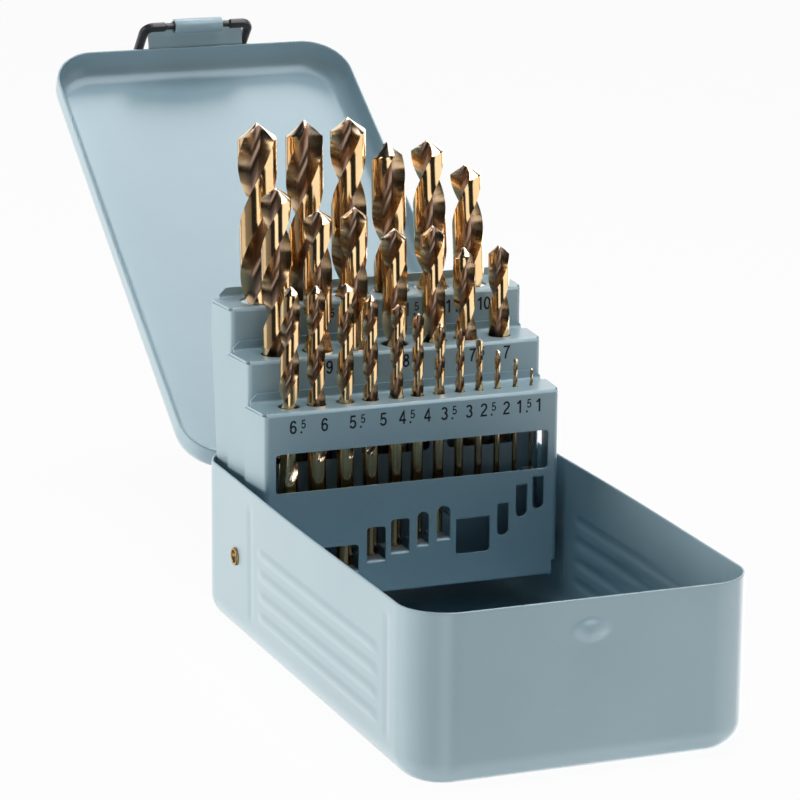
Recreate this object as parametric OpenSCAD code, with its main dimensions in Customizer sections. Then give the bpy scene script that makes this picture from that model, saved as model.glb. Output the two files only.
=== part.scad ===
// Hinged steel case with a fold-up holder and a graded set of 25 twist drill bits, shown open.
// Frame: origin at the middle of the tray's underside, X across, Y from front to hinge, Z up. Millimetres.

/* [Case] */
// outer width of the tray
case_w = 110; // [108:0.5:140]
// outer length of the tray, front to hinge
case_l = 192; // [184:1:236]
// height of the tray's rim above the table
tray_h = 53.5; // [51:0.5:66]
// plan corner radius of the tray
corner_r = 15; // [12:0.5:20]
// radius of the tray's bottom edges
base_r = 8; // [5:0.5:9]
// sheet thickness of tray, lid and holder
sheet_t = 0.8; // [0.7:0.05:1]
// height of the raised ribs on the side walls above the wall
rib_rise = 0.5; // [0.3:0.05:0.7]
// spacing of the raised ribs, one above the other
rib_pitch = 7; // [5.5:0.25:8]

/* [Lid] */
// gap between the tray's wall and the lid's flange around it
lid_gap = 0.4; // [0.3:0.05:0.6]
// how far the closed lid's flange reaches down over the tray
lid_lap = 1.5; // [1:0.1:2]
// gap between the folded holder and the inside of the closed lid
lid_head = 0.6; // [0.5:0.1:2]
// radius of the lid's top edges
lid_edge_r = 9; // [6:0.5:10]
// angle from closed to open
lid_open = 145.5; // [120:0.5:150]
// radius of the hinge pin
pin_r = 1.1; // [0.9:0.05:1.2]
// outer radius of the hinge knuckles
knuckle_r = 1.9; // [1.8:0.05:2]
// length of the row of knuckles
hinge_w = 62; // [50:1:72]

/* [Catch] */
// width of the sheet tab below the lid's front flange
tab_w = 36; // [30:1:44]
// length of the rolled curl that carries the catch
curl_w = 18; // [14:1:24]
// outer radius of the rolled curl
curl_r = 2.7; // [2.6:0.05:2.9]
// bore radius of the rolled curl
curl_bore = 1.9; // [1.8:0.05:2]
// wire radius of the catch
bail_r = 1.5; // [1.3:0.05:1.7]
// length of the catch from its pivot to its cross bar
bail_len = 22; // [16:0.5:26]
// angle of the catch from released to latched
bail_swing = 178; // [176:0.5:179]

/* [Holder] */
// gap between the holder's panels and the outside of the tray, each side
holder_gap = 4.25; // [4:0.05:5]
// height of the front tread above the feet of the bits
tread_1 = 65.2; // [62:0.2:68]
// step up from the front tread to the middle one
step_2 = 13.5; // [11:0.5:15]
// step up from the middle tread to the rear one
step_3 = 13.8; // [11:0.5:15]
// depth of the front tread
depth_1 = 15.7; // [14.5:0.1:16]
// depth of the middle tread
depth_2 = 16.7; // [15.5:0.1:17.5]
// depth of the rear tread
depth_3 = 17.7; // [17:0.1:18]
// height of the upturned lip behind each tread
lip_h = 3.2; // [2:0.1:4]
// how far the side flanges spread by their rear edge
flare = 1.5; // [1:0.1:1.6]
// clearance all round a bit in its hole
hole_gap = 0.25; // [0.2:0.05:0.35]
// height of the long window
window_h = 13; // [10:0.5:15]

/* [Pivot] */
// distance of the pivot behind the front panel
pivot_back = 15.9; // [15.5:0.1:16.5]
// height of the pivot above the feet of the bits
pivot_up = 14.9; // [14:0.1:15.5]
// height of the pivot below the tray's rim
pivot_down = 25.6; // [25:0.1:27]
// barrel radius of the eyelet
eyelet_r = 2; // [1.8:0.05:2.2]
// radius of the eyelet's rolled head
head_r = 3; // [2.8:0.1:3.2]
// running clearance on each pivot
run_gap = 0.06; // [0.04:0.01:0.08]

/* [Bits] */
// point angle of the bits
point_angle = 118; // [110:1:135]
// twist of the flutes, as the length of one turn in diameters
lead_d = 5.6; // [5:0.1:6.5]

/* [Hidden] */
$fn = 48;
eps = 0.01;
t = sheet_t;

// the case
hinge_y = case_l / 2 + 3.2;
hinge_z = tray_h - 3.2;
lid_w = case_w + 2 * (lid_gap + t);
lid_l = case_l + 2 * (lid_gap + t);
lid_rim = tray_h - lid_lap;

// the holder: the rear of the stack clears the tray's back wall as it turns
holder_w = case_w - 2 * holder_gap;
back_reach = depth_1 + depth_2 + depth_3 - pivot_back;
pivot_y = case_l / 2 - t - 1.8 - back_reach;
pivot_z = tray_h - pivot_down;
foot_z = pivot_z - pivot_up;
face_1 = pivot_y - pivot_back;
face_2 = face_1 + depth_1;
face_3 = face_2 + depth_2;
face_4 = face_3 + depth_3;
top_1 = foot_z + tread_1;
top_2 = top_1 + step_2;
top_3 = top_2 + step_3;
row_y = [face_1 + depth_1 / 2, face_2 + depth_2 / 2 + 0.1, face_3 + depth_3 / 2];
tread_z = [top_1, top_2, top_3];
lid_depth = pivot_z + back_reach + lid_head + t - lid_rim;
spread = holder_w / 101.5;

// the rear tier's flanges and foot clear the tray's rounded rear corners
corner_x = case_w / 2 - corner_r;
flange_x = holder_w / 2 + flare * 0.75 - corner_x;
corner_y = case_l / 2 - corner_r + sqrt(pow(corner_r - t - 0.5, 2) - pow(flange_x, 2)) - 0.3;
foot_r = norm([face_4 - 3.6 - pivot_y, pivot_up + t]);
foot_x = corner_x + sqrt(pow(corner_r - t, 2) - pow(pivot_y + foot_r + 0.6 - case_l / 2 + corner_r, 2));

// folded down, the rear tier's back edge lies under the closed lid's rounded edge
edge_x = lid_w / 2 - lid_edge_r;
edge_y = pivot_y + lid_rim + lid_depth - lid_edge_r - pivot_z;
edge_r = lid_edge_r - t - 0.35;

// the catch, in the closed lid's place
curl_y = -case_l / 2 - lid_gap - 1.1 - curl_r;
curl_z = tray_h - 9;
bump_z = tray_h - 9.3;

// bits: diameter, whole length, flute length, place across, row, stop above the feet, lean
bits = [
    [13, 151, 101, -37.6, 2, 0, 1.2],
    [12.5, 151, 101, -21.7, 2, 0, 1],
    [12, 151, 101, -6.6, 2, 0, 1],
    [11.5, 142, 94, 7.9, 2, 0, 2],
    [11, 142, 94, 22.4, 2, 0, 2.6],
    [10.5, 133, 87, 35.8, 2, 0, 2.8],
    [10, 133, 87, -37.9, 1, 0, 0.5],
    [9.5, 125, 81, -24.1, 1, 0, 0],
    [9, 125, 81, -11.4, 1, 0, 0.5],
    [8.5, 117, 75, 2.7, 1, 0, 1],
    [8, 117, 75, 16.4, 1, 0, 1.4],
    [7.5, 109, 69, 27.6, 1, 0, 2.4],
    [7, 109, 69, 39.4, 1, 0, 1],
    [6.5, 101, 63, -39.8, 0, 3.3, -0.8],
    [6, 93, 57, -30.5, 0, 11, 0.4],
    [5.5, 93, 57, -20.6, 0, 11, 0],
    [5, 86, 52, -12, 0, 13.6, 0.2],
    [4.5, 80, 47, -3.1, 0, 15.7, -0.6],
    [4, 75, 43, 4.2, 0, 17.3, -0.2],
    [3.5, 70, 39, 11.8, 0, 18.6, -0.5],
    [3, 61, 33, 18.9, 0, 25.1, -0.4],
    [2.5, 57, 30, 25.6, 0, 25.1, 0],
    [2, 49, 24, 32.1, 0, 28.9, 0],
    [1.5, 40, 18, 38.4, 0, 34.6, 0],
    [1, 34, 12, 44.1, 0, 36.8, 0]
];

// stop slots in the front panel: left, right, stop height above the feet, slot length, tab above the slot, tab's left
slots = [
    [-46.5, -18.7, 11, 8.6, 0, -35],
    [-16, -9.4, 13.6, 11.2, 0, -16],
    [-7.7, -1.2, 15.7, 11, 0, -7.7],
    [1.4, 5.5, 17.3, 11, 0, 1.4],
    [8.2, 13, 18.6, 11, 0, 8.2],
    [14.9, 26.9, 25.1, 12.4, 1, 14.9],
    [29.4, 33.5, 28.9, 11.4, 1, 29.4],
    [35.9, 40, 34.6, 11.4, 1, 35.9],
    [41.8, 45.8, 36.8, 11.4, 1, 41.8]
];

paint = [0.42, 0.55, 0.62];
brass = [0.72, 0.53, 0.25];
black = [0.08, 0.08, 0.09];
bronze = [0.62, 0.47, 0.3];

// a rounded rectangle around the origin
module plan(w, l, r) {
    union() {
        square([w - 2 * r, l], center = true);
        square([w, l - 2 * r], center = true);
        for (sx = [-1, 1]) {
            for (sy = [-1, 1]) {
                translate([sx * (w / 2 - r), sy * (l / 2 - r)]) circle(r);
            }
        }
    }
}

// the wall's section, outwards along X from the corner's middle
module wall_section(h, r, rb) {
    difference() {
        wall_outline(h, r, rb, rb);
        wall_outline(h + 1, r - t, rb, rb - t);
    }
}

// a quarter of a disc below a block, together r wide
module wall_outline(h, r, rb, rc) {
    translate([r - rc, rb]) square([rc, h - rb]);
    intersection() {
        translate([r - rc, rb]) circle(rc);
        translate([r - rc, rb - rc]) square([rc, rc]);
    }
}

// a drawn pan, open at the top, with rounded corners and a rounded bottom edge
module pan(w, l, h, r, rb) {
    for (k = [0 : 3]) {
        sx = (k == 0 || k == 3) ? 1 : -1;
        sy = (k < 2) ? 1 : -1;
        translate([sx * (w / 2 - r), sy * (l / 2 - r), 0])
            rotate([0, 0, k * 90])
                rotate_extrude(angle = 90) wall_section(h, r, rb);
    }
    for (s = [0, 180]) {
        rotate([0, 0, s])
            translate([w / 2 - r, l / 2 - r, 0])
                rotate([90, 0, 0])
                    linear_extrude(l - 2 * r) wall_section(h, r, rb);
        rotate([0, 0, s])
            translate([w / 2 - r, -l / 2 + r, 0])
                rotate([0, 0, -90])
                    rotate([90, 0, 0])
                        linear_extrude(w - 2 * r) wall_section(h, r, rb);
    }
    linear_extrude(t) plan(w - 2 * rb, l - 2 * rb, r - rb);
}

// a raised rib along Y on a wall whose outer face is at x = 0, rising towards +X
module rib(length, width) {
    ball = (width * width / 4 + rib_rise * rib_rise) / (2 * rib_rise);
    intersection() {
        translate([rib_rise - ball, 0, 0]) rotate([90, 0, 0]) cylinder(r = ball, h = length, center = true);
        translate([-0.2, -length / 2, -width / 2]) cube([rib_rise + 0.3, length, width]);
    }
}

// places along X for the knuckles that belong to one half of the hinge
function knuckle_x(k) = -hinge_w / 2 + k * hinge_w / 5;

module knuckle(k, bore) {
    translate([knuckle_x(k) + 0.15, hinge_y, hinge_z])
        rotate([0, 90, 0])
            difference() {
                cylinder(r = knuckle_r, h = hinge_w / 5 - 0.3);
                translate([0, 0, -1]) cylinder(r = bore, h = hinge_w / 5 + 2);
            }
}

module tray() {
    color(paint) {
        difference() {
            union() {
                pan(case_w, case_l, tray_h, corner_r, base_r);
                for (s = [0, 1]) {
                    mirror([s, 0, 0]) {
                        for (k = [0 : 3]) {
                            translate([case_w / 2, -case_l * 0.078, tray_h * 0.27 + k * rib_pitch])
                                rib(case_l * 0.53, 3.4);
                        }
                    }
                }
                // the oblong bump behind the lid's catch
                translate([0, -case_l / 2 + 0.2, bump_z])
                    rotate([90, 0, 0])
                        linear_extrude(1.2) plan(10, 6, 2);
                for (k = [0, 2, 4]) {
                    difference() {
                        translate([knuckle_x(k) + 0.15, case_l / 2 - 0.2, hinge_z - knuckle_r])
                            cube([hinge_w / 5 - 0.3, hinge_y - case_l / 2 + 0.2, t]);
                        translate([knuckle_x(k), hinge_y, hinge_z])
                            rotate([0, 90, 0]) cylinder(r = knuckle_r - t / 2, h = hinge_w / 5);
                    }
                    knuckle(k, pin_r);
                }
            }
            // rivet holes
            translate([0, pivot_y, pivot_z])
                rotate([0, 90, 0]) cylinder(r = eyelet_r, h = case_w + 4, center = true);
        }
    }
}

module lid_closed() {
    difference() {
        translate([0, 0, lid_rim + lid_depth])
            mirror([0, 0, 1])
                pan(lid_w, lid_l, lid_depth, corner_r + lid_gap + t, lid_edge_r);
    }
    for (k = [1, 3]) {
        difference() {
            translate([knuckle_x(k) + 0.15, lid_l / 2 - t, hinge_z + knuckle_r - t])
                cube([hinge_w / 5 - 0.3, hinge_y - lid_l / 2 + t, t]);
            translate([knuckle_x(k), hinge_y, hinge_z])
                rotate([0, 90, 0]) cylinder(r = knuckle_r - t / 2, h = hinge_w / 5);
        }
        knuckle(k, pin_r + run_gap);
    }
    // the tab slopes out from the flange to the curl
    difference() {
        union() {
            translate([-tab_w / 2, 0, 0])
                rotate([90, 0, 90])
                    linear_extrude(tab_w)
                        polygon([
                            [-lid_l / 2, lid_rim + 0.6],
                            [-lid_l / 2, lid_rim],
                            [curl_y + 0.2, curl_z + curl_r + 0.4],
                            [curl_y + 0.2 + t, curl_z + curl_r + 0.4],
                            [-lid_l / 2 + t, lid_rim],
                            [-lid_l / 2 + t, lid_rim + 0.6]
                        ]);
            translate([-curl_w / 2, curl_y + 0.2, curl_z + curl_r - 1.2]) cube([curl_w, t, 1.8]);
            translate([-curl_w / 2, curl_y, curl_z]) rotate([0, 90, 0]) cylinder(r = curl_r, h = curl_w);
        }
        translate([-curl_w / 2 - 1, curl_y, curl_z])
            rotate([0, 90, 0]) cylinder(r = curl_bore, h = curl_w + 2);
    }
}

// moves the closed lid's parts to the open pose
module swing_open() {
    translate([0, hinge_y, hinge_z])
        rotate([-lid_open, 0, 0])
            translate([0, -hinge_y, -hinge_z]) children();
}

module lid() {
    color(paint) swing_open() lid_closed();
}

module hinge_pin() {
    color(paint)
        translate([-hinge_w / 2, hinge_y, hinge_z])
            rotate([0, 90, 0]) cylinder(r = pin_r, h = hinge_w);
}

// released: the loop stands up in front of the closed lid's flange, leaning out
module bail_closed() {
    arm_x = tab_w / 2 + 0.5 + bail_r;
    lean = 8;
    tip = [-sin(lean) * bail_len, cos(lean) * bail_len];
    translate([0, curl_y, curl_z]) {
        rotate([0, 90, 0]) cylinder(r = curl_bore - run_gap, h = curl_w, center = true);
        for (s = [-1, 1]) {
            translate([s * (curl_w / 2 + 1.7), 0, 0])
                rotate([0, 90, 0]) cylinder(r = 1.15, h = 4.4, center = true);
            translate([s * (curl_w / 2 + 3.4 + arm_x) / 2, 0, 0])
                rotate([0, 90, 0]) cylinder(r = bail_r, h = arm_x - curl_w / 2 - 3.4, center = true);
            translate([s * arm_x, 0, 0]) sphere(r = bail_r);
            translate([s * arm_x, 0, 0]) rotate([lean, 0, 0]) cylinder(r = bail_r, h = bail_len);
            translate([s * arm_x, tip[0], tip[1]]) sphere(r = bail_r);
        }
        translate([0, tip[0], tip[1]]) rotate([0, 90, 0]) cylinder(r = bail_r, h = 2 * arm_x, center = true);
    }
}

module bail() {
    color(black) swing_open() bail_closed();
}

// a brass eyelet at +X: rolled head outside, collar inside the wall, rolled head behind the holder's ear
module eyelet() {
    wall_in = case_w / 2 - t;
    ear = ear_x();
    translate([0, pivot_y, pivot_z])
        rotate([0, 90, 0])
            difference() {
                union() {
                    translate([0, 0, ear - t - 0.75]) cylinder(r = eyelet_r, h = case_w / 2 - ear + t + 0.8);
                    translate([0, 0, case_w / 2]) cylinder(r = head_r, h = 0.5);
                    translate([0, 0, case_w / 2 + 0.5]) cylinder(r1 = head_r, r2 = head_r - 0.5, h = 0.4);
                    translate([0, 0, ear + 0.15]) cylinder(r = head_r, h = wall_in - ear - 0.15);
                    translate([0, 0, ear - t - 0.75]) cylinder(r = head_r, h = 0.6);
                }
                translate([0, 0, ear - t - 2]) cylinder(r = eyelet_r - 0.6, h = case_w / 2 - ear + t + 6);
            }
}

function ear_x() = holder_w / 2 + 1.6;

module eyelet_left() {
    color(brass) mirror([1, 0, 0]) eyelet();
}

module eyelet_right() {
    color(brass) eyelet();
}

// plan of one tier: front panel and two side flanges that spread towards the rear, front face at y = 0
module tier_plan(depth) {
    rf = 1.6;
    a = atan(flare / (depth - rf));
    x = holder_w / 2 - rf;
    translate([-x, 0]) square([2 * x, t]);
    for (s = [0, 1]) {
        mirror([s, 0]) {
            translate([x, rf]) {
                intersection() {
                    difference() {
                        circle(rf);
                        circle(rf - t);
                    }
                    polygon([[0, 0], [0, -3], [3, -3], [3 * cos(a), -3 * sin(a)]]);
                }
                rotate([0, 0, -a]) translate([rf - t, 0]) square([t, (depth - rf) / cos(a) - 0.3]);
            }
        }
    }
}

// upturned lip with cut corners, against the panel behind it
module lip(y, z) {
    w = holder_w - 1;
    translate([0, y, z - eps])
        rotate([90, 0, 0])
            linear_extrude(t)
                polygon([
                    [-w / 2, 0],
                    [w / 2, 0],
                    [w / 2 - 0.4, lip_h * 0.45],
                    [w / 2 - lip_h * 0.7, lip_h],
                    [-w / 2 + lip_h * 0.7, lip_h],
                    [-w / 2 + 0.4, lip_h * 0.45]
                ]);
}

// one tier: panel with flanges, tread on top, lip behind the tread, foot turned back below
module tier(front, depth, low, high) {
    translate([0, front, low]) linear_extrude(high - low) tier_plan(depth);
    translate([-holder_w / 2 + 0.25, front + 0.25, high - t])
        cube([holder_w - 0.5, depth - 0.25, t]);
    lip(front + depth, high);
}

module foot(front, depth, z, left, right) {
    translate([left, front + t / 2, z - t]) cube([right - left, depth - t / 2, t]);
}

// everything a bit passes through, a little wider than the bit
module bit_holes(row) {
    for (b = bits) {
        if (b[4] == row) {
            translate([b[3] * spread, row_y[row], tread_z[row] - t / 2])
                rotate([0, -b[6], 0]) cylinder(r = b[0] / 2 + hole_gap, h = 4 * t, center = true);
        }
    }
}

module front_tier() {
    color(paint) {
        difference() {
            union() {
                difference() {
                    union() {
                        tier(face_1, depth_1, foot_z + 3.3 - t, top_1);
                        foot(face_1, depth_1 - 3, foot_z + 3.3, -holder_w / 2 + 2, holder_w / 2 - 2.6);
                    }
                    // relief notch at the lower right corner
                    translate([holder_w / 2 - 1.9, face_1 - 1, foot_z - 1]) cube([4, 3.4, 8.5]);
                    // the long window, and the slots that the stops are cut from
                    translate([-47 * spread, face_1 - 1, top_1 - 26.4]) cube([94.1 * spread, 1 + 2 * t, window_h]);
                    for (s = slots) {
                        low = foot_z + s[2] - (s[4] == 1 ? s[3] : 0);
                        translate([s[0] * spread, face_1 - 1, low]) cube([(s[1] - s[0]) * spread, 1 + 1.5 * t, s[3]]);
                    }
                    // the flanges stop short of the ears' rivet heads
                    translate([0, pivot_y, pivot_z])
                        rotate([0, 90, 0]) cylinder(r = head_r + 0.5, h = case_w, center = true);
                    bit_holes(0);
                }
                // stops bent in from the slots
                for (s = slots) {
                    translate([s[5] * spread, face_1 + t / 4, foot_z + s[2] - t])
                        cube([(s[1] - s[5]) * spread, 11.4, t]);
                }
                // ears for the pivots
                for (m = [0, 1]) {
                    mirror([m, 0, 0]) {
                        translate([ear_x() - t, pivot_y, pivot_z]) rotate([0, 90, 0]) cylinder(r = head_r + 2, h = t);
                        translate([ear_x() - t, pivot_y - 8.5, pivot_z - head_r - 2]) cube([t, 8.5, 2 * head_r + 4]);
                    }
                }
            }
            translate([0, pivot_y, pivot_z])
                rotate([0, 90, 0]) cylinder(r = eyelet_r + run_gap, h = case_w, center = true);
        }
    }
}

module middle_tier() {
    color(paint) {
        difference() {
            union() {
                tier(face_2, depth_2, foot_z - t, top_2);
                foot(face_2, depth_2 - 1, foot_z, -holder_w / 2 + 2, holder_w / 2 - 2);
            }
            bit_holes(1);
            // room for the eyelets' inner heads and the front tier's ears
            for (m = [0, 1]) {
                mirror([m, 0, 0]) {
                    translate([holder_w / 2 - 5, pivot_y, pivot_z])
                        rotate([0, 90, 0]) cylinder(r = head_r + 2.6, h = 12);
                }
            }
            // windows under the front tread
            for (k = [-1 : 1]) {
                translate([k * 30 * spread - 12 * spread, face_2 - 1, top_1 - 21])
                    cube([24 * spread, 1 + 2 * t, 12]);
            }
        }
    }
}

module rear_tier() {
    color(paint) {
        difference() {
            union() {
                tier(face_3, depth_3, foot_z + 11, top_3);
                translate([-holder_w / 2 + 4, face_3, foot_z - t]) cube([holder_w - 8, t, 12.5]);
                foot(face_3, depth_3 - 3.6, foot_z, -foot_x, foot_x);
            }
            bit_holes(2);
            // the flanges' rear edges slope in to clear the tray's rounded corners
            translate([-case_w / 2, 0, 0])
                rotate([90, 0, 90])
                    linear_extrude(case_w)
                        polygon([
                            [corner_y, foot_z],
                            [corner_y, tray_h + 3],
                            [face_4 + 0.1, top_3 - 5],
                            [face_4 + 5, top_3 - 5],
                            [face_4 + 5, foot_z]
                        ]);
            // and their top corners are rounded to lie under the closed lid's edge
            for (side = [-1, 1])
                scale([side, 1, 1])
                    translate([edge_x, edge_y, foot_z])
                        linear_extrude(top_3 + lip_h + 5 - foot_z)
                            difference() {
                                square(lid_edge_r + 5);
                                circle(edge_r);
                            }
        }
    }
}

// a bit on its own axis: plain shank, fluted part, cone point; foot at z = 0
module bit_shape(d, whole, flute) {
    r = d / 2;
    plain = whole - flute;
    bevel = r * 0.12;
    turns = flute / (lead_d * d);
    translate([0, 0, bevel]) cylinder(r = r, h = plain - bevel);
    cylinder(r1 = r - bevel, r2 = r, h = bevel);
    intersection() {
        translate([0, 0, plain - d / 4])
            linear_extrude(flute + d / 4, twist = -360 * turns, slices = round(12 * turns), segments = 8)
                bit_section(0.98 * r);
        translate([0, 0, plain - d / 2])
            cylinder(r1 = (flute + d / 2) * tan(point_angle / 2) + 0.02, r2 = 0.02, h = flute + d / 2);
    }
}

// cross section of the fluted part: two lands joined by the web
module bit_section(r) {
    polygon([
        for (h = [0, 180])
            for (p = [[0, 1], [40, 1], [75, 0.62], [120, 0.45]])
                [p[1] * r * cos(h + p[0]), p[1] * r * sin(h + p[0])]
    ]);
}

// bit n of the list, standing in its hole on its stop
module bit(n) {
    b = bits[n];
    r = b[0] / 2;
    drop = tread_z[b[4]] - foot_z - b[5];
    color(bronze)
        translate([b[3] * spread, row_y[b[4]], tread_z[b[4]]])
            rotate([0, -b[6], 0])
                translate([0, 0, -drop / cos(b[6]) + r * tan(abs(b[6])) + 0.02])
                    bit_shape(b[0], b[1], b[2]);
}

tray();
lid();
hinge_pin();
bail();
eyelet_left();
eyelet_right();
front_tier();
middle_tier();
rear_tier();
bit(0);  // bit_13_0
bit(1);  // bit_12_5
bit(2);  // bit_12_0
bit(3);  // bit_11_5
bit(4);  // bit_11_0
bit(5);  // bit_10_5
bit(6);  // bit_10_0
bit(7);  // bit_9_5
bit(8);  // bit_9_0
bit(9);  // bit_8_5
bit(10);  // bit_8_0
bit(11);  // bit_7_5
bit(12);  // bit_7_0
bit(13);  // bit_6_5
bit(14);  // bit_6_0
bit(15);  // bit_5_5
bit(16);  // bit_5_0
bit(17);  // bit_4_5
bit(18);  // bit_4_0
bit(19);  // bit_3_5
bit(20);  // bit_3_0
bit(21);  // bit_2_5
bit(22);  // bit_2_0
bit(23);  // bit_1_5
bit(24);  // bit_1_0
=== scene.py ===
import math

import bmesh
import bpy
import numpy as np
from mathutils import Matrix, Vector
from mathutils.geometry import delaunay_2d_cdt


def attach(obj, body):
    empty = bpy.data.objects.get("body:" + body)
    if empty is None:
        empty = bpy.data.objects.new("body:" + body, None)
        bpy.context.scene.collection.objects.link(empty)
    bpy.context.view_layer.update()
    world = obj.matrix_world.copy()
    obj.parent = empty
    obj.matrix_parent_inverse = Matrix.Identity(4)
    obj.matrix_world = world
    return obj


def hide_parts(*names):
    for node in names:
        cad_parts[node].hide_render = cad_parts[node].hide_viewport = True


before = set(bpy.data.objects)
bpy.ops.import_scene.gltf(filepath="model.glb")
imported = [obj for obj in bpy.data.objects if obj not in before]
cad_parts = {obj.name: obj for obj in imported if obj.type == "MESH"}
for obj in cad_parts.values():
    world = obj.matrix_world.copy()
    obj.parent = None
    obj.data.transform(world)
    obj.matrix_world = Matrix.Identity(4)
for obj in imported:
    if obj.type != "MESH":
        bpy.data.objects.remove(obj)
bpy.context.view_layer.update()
print("frame loaded:", len(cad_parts), "nodes")

mm = 0.001
scene = bpy.context.scene

# real sizes of the case in millimetres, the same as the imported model's
case = {"width": 110.0, "length": 192.0, "height": 53.5, "cornerR": 15.0, "baseR": 8.0, "sheet": 0.8}
hinge = {"y": 99.2, "z": 50.3, "open": 145.5, "pinR": 1.1, "knuckleR": 1.9, "width": 62.0, "leaf": 0.75, "gap": 0.3}
pivot = {"y": 59.2, "z": 27.9}
footZ = 13.0
treadTops = [78.2, 91.7, 105.5]
panelFaces = [43.3, 59.0, 75.7, 93.4]
rowMiddles = [51.15, 67.45, 84.55]


def addPiece(name, points, faces, body, nodes, slotName, material, sharpAngle=None):
    # points in millimetres become a smooth mesh that rides on the body and stands for the nodes
    mesh = bpy.data.meshes.new(name)
    mesh.from_pydata((np.asarray(points) * mm).tolist(), [], faces)
    mesh.validate()
    mesh.polygons.foreach_set("use_smooth", np.ones(len(mesh.polygons), bool))
    if sharpAngle:
        mesh.set_sharp_from_angle(angle=math.radians(sharpAngle))
    piece = bpy.data.objects.new(name, mesh)
    scene.collection.objects.link(piece)
    mesh.materials.append(material)
    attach(piece, body)
    if nodes:
        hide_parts(*nodes)
    return piece


def ringFaces(rows, count):
    # quads between neighbouring rings, and a fan at each end that meets in one pole
    i, j = np.meshgrid(np.arange(rows - 1), np.arange(count), indexing="ij")
    k = (j + 1) % count
    quads = np.stack([i * count + j, i * count + k, (i + 1) * count + k, (i + 1) * count + j], -1)
    j, k = j[0], k[0]
    low, high, last = rows * count, rows * count + 1, (rows - 1) * count
    first = np.stack([np.full(count, low), k, j], -1).tolist()
    return quads.reshape(-1, 4).tolist() + first + np.stack([last + j, last + k, np.full(count, high)], -1).tolist()


def editMesh(piece, change):
    # opens the piece's mesh for one function and writes it back
    work = bmesh.new()
    work.from_mesh(piece.data)
    change(work)
    work.to_mesh(piece.data)
    work.free()


def facesOut(piece):
    # turns every face of a closed shell outwards
    editMesh(piece, lambda work: bmesh.ops.recalc_face_normals(work, faces=work.faces))


def joined(parts):
    # several (points, faces) as one, each part's faces counted on from the points before it
    first = np.cumsum([0] + [len(p) for p, f in parts[:-1]])
    faces = [[int(i) + int(base) for i in face] for base, (p, f) in zip(first, parts) for face in f]
    return np.concatenate([p for p, f in parts]), faces


def closedRings(rings):
    # rings of shape (rows, count, 3) with a pole at the middle of the first and of the last one
    rows, count = rings.shape[:2]
    points = np.concatenate([rings.reshape(-1, 3), rings[0].mean(0)[None], rings[-1].mean(0)[None]])
    return points, ringFaces(rows, count)


def loopRings(rings):
    # rings of shape (rows, count, 3) whose last ring joins the first, as on a wire loop or a rolled ring
    rows, count = rings.shape[:2]
    i, j = np.meshgrid(np.arange(rows), np.arange(count), indexing="ij")
    n, k = (i + 1) % rows, (j + 1) % count
    quads = np.stack([i * count + j, i * count + k, n * count + k, n * count + j], -1)
    return rings.reshape(-1, 3), quads.reshape(-1, 4).tolist()


def smooth(value, low, high):
    # 0 below low, 1 above high, and 3s^2 - 2s^3 between them
    s = np.clip((value - low) / (high - low), 0, 1)
    return s * s * (3 - 2 * s)


def swingOpen(points):
    # turns the closed lid's points about the hinge to the open pose
    a = math.radians(hinge["open"])
    y, z = points[..., 1] - hinge["y"], points[..., 2] - hinge["z"]
    turned = np.array(points, float)
    turned[..., 1] = hinge["y"] + y * math.cos(a) + z * math.sin(a)
    turned[..., 2] = hinge["z"] - y * math.sin(a) + z * math.cos(a)
    return turned


class Wire:
    # an output socket with arithmetic: each sign adds its Math node
    def __init__(self, tree, socket):
        self.tree, self.socket = tree, socket

    def calc(self, how, *others, settings=None):
        node = self.tree.nodes.new("ShaderNodeMath")
        node.operation = how
        for key, value in (settings or {}).items():
            setattr(node, key, value)
        for place, value in enumerate((self,) + others):
            if isinstance(value, Wire):
                self.tree.links.new(value.socket, node.inputs[place])
            else:
                node.inputs[place].default_value = value
        return Wire(self.tree, node.outputs[0])

    def __add__(self, other):
        return self.calc("ADD", other)

    def __sub__(self, other):
        return self.calc("SUBTRACT", other)

    def __mul__(self, other):
        return self.calc("MULTIPLY", other)

    def __rsub__(self, other):
        return (self * -1) + other

    __radd__ = __add__
    __rmul__ = __mul__

    def clamp(self):
        return self.calc("ADD", 0.0, settings={"use_clamp": True})

    def max(self, other):
        return self.calc("MAXIMUM", other)


def addNode(tree, kind, settings=None, inputs=None, output=0):
    # a node of one type: its settings first, then the values or links of its sockets
    node = tree.nodes.new(kind)
    for key, value in (settings or {}).items():
        if key == "stops":
            ramp = node.color_ramp
            while len(ramp.elements) < len(value):
                ramp.elements.new(0.5)
            for element, (place, shade) in zip(ramp.elements, value):
                element.position = place
                element.color = shade
        else:
            setattr(node, key, value)
    for key, value in (inputs or {}).items():
        if isinstance(value, Wire):
            tree.links.new(value.socket, node.inputs[key])
        else:
            node.inputs[key].default_value = value
    return None if output is None else Wire(tree, node.outputs[output])


def mixColour(tree, factor, first, second):
    # the first colour where the factor is 0, the second where it is 1
    return addNode(tree, "ShaderNodeMix", {"data_type": "RGBA"}, {0: factor, 6: first, 7: second}, 2)


def noise(tree, place, scale, detail=2.0):
    # a grey cloud from 0 to 1 with scale cells to a metre
    return addNode(tree, "ShaderNodeTexNoise", {}, {"Vector": place, "Scale": scale, "Detail": detail})


def objectPlace(tree):
    return addNode(tree, "ShaderNodeTexCoord", output="Object")


def bump(tree, height, strength, distance):
    return addNode(tree, "ShaderNodeBump", {}, {"Height": height, "Strength": strength, "Distance": distance})


def newMaterial(name):
    material = bpy.data.materials.new(name)
    material.use_nodes = True
    tree = material.node_tree
    tree.nodes.clear()
    return material, tree


def finishMaterial(tree, shader):
    addNode(tree, "ShaderNodeOutputMaterial", {}, {"Surface": shader}, None)


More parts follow.
